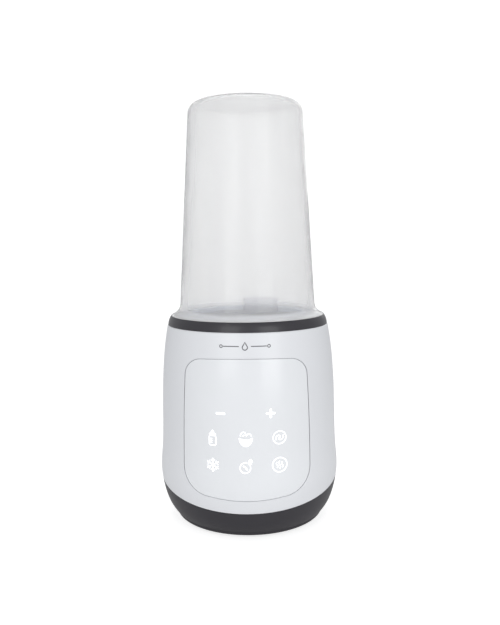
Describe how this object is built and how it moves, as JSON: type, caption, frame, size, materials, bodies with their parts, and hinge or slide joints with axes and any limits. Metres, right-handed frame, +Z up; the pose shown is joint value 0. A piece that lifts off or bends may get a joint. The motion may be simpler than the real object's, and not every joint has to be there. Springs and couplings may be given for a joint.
{
  "type": "bottle and food warmer",
  "caption": "Slim round baby bottle and food warmer with a heated well, mixing turntable, lift-out basket, flush touch panel and tall frosted steam cover.",
  "frame": {"origin": "centre of the underside, on the surface the feet stand on", "axes": "+Z up along the round body, -Y towards the touch panel, +X to the right of the panel seen from the front"},
  "size_m": [0.1322, 0.1322, 0.3036],
  "materials": {
    "frosted_cover": "frosted translucent",
    "white_housing": "fine satin",
    "white_lens": "polished",
    "charcoal_trim": "satin",
    "charcoal_base": "fine satin grain",
    "tank_plastic": "satin",
    "basket_plastic": "translucent satin",
    "drive_plastic": "moulded acetal",
    "foot_rubber": "matte",
    "silicone": "matte translucent",
    "stainless": "spun",
    "zinc_steel": "zinc plated",
    "aluminium_part": "cast",
    "brass_part": "turned",
    "ceramic_part": "matte",
    "green_board": "solder mask",
    "black_plastic": "moulded",
    "blue_plastic": "sleeve",
    "yellow_tape": "tape",
    "fuse_glass": "clear",
    "light_plastic": "opal",
    "film_plastic": "clear film",
    "led_lens": "lens",
    "wire_sleeve": "silicone sleeve"
  },
  "bodies": {
    "housing": {"upper_housing": "white_housing", "control_lens": "white_lens", "trim_ring": "charcoal_trim", "base_shell": "charcoal_base", "water_tank": "tank_plastic", "rubber_feet": "foot_rubber", "tank_gasket": "silicone", "plate_seal": "silicone", "shaft_seal": "silicone", "heating_plate": "stainless", "base_screws": "zinc_steel", "clamp_screws": "zinc_steel", "motor_screws": "zinc_steel", "board_screws": "zinc_steel", "touch_board_screws": "zinc_steel", "drive_bracket": "zinc_steel", "motor_can": "zinc_steel", "motor_gearhead": "zinc_steel", "plate_clamp": "aluminium_part", "heater_ring": "stainless", "heater_terminals": "ceramic_part", "thermal_cutout": "aluminium_part", "temperature_sensor": "stainless", "shaft_bush": "brass_part", "lower_bush": "brass_part", "power_board": "green_board", "touch_board": "green_board", "transformer": "yellow_tape", "relay": "black_plastic", "capacitor": "blue_plastic", "fuse": "fuse_glass", "terminal_block": "black_plastic", "power_inlet": "black_plastic", "inlet_pins": "brass_part", "mains_leads": "wire_sleeve", "heater_leads": "wire_sleeve", "motor_leads": "wire_sleeve", "signal_cable": "wire_sleeve", "light_shroud": "light_plastic", "icon_diffusers": "light_plastic", "icon_leds": "led_lens", "display_module": "black_plastic", "touch_film": "film_plastic"},
    "turntable_drive": {"turntable": "drive_plastic", "drive_shaft": "stainless", "drive_gear": "drive_plastic", "shaft_clip": "zinc_steel"},
    "pinion_drive": {"motor_shaft": "stainless", "motor_pinion": "brass_part"},
    "basket": {"bottle_basket": "basket_plastic"},
    "cover": {"cover": "frosted_cover"}
  },
  "joints": [
    {"name": "turntable_spin", "type": "hinge", "parent": "housing", "child": "turntable_drive", "pos_m": [0, 0, 0.069], "axis": [0, 0, 1], "continuous": true},
    {"name": "motor_spin", "type": "hinge", "parent": "housing", "child": "pinion_drive", "pos_m": [0, -0.024, 0.048], "axis": [0, 0, 1], "continuous": true},
    {"name": "basket_lift", "type": "slide", "parent": "turntable_drive", "child": "basket", "axis": [0, 0, 1], "range_m": [0, 0.1]},
    {"name": "cover_lift", "type": "slide", "parent": "housing", "child": "cover", "axis": [0, 0, 1], "range_m": [0, 0.17]}
  ],
  "couplings": [
    {"joint": "motor_spin", "follows": "turntable_spin", "ratio": -4}
  ]
}
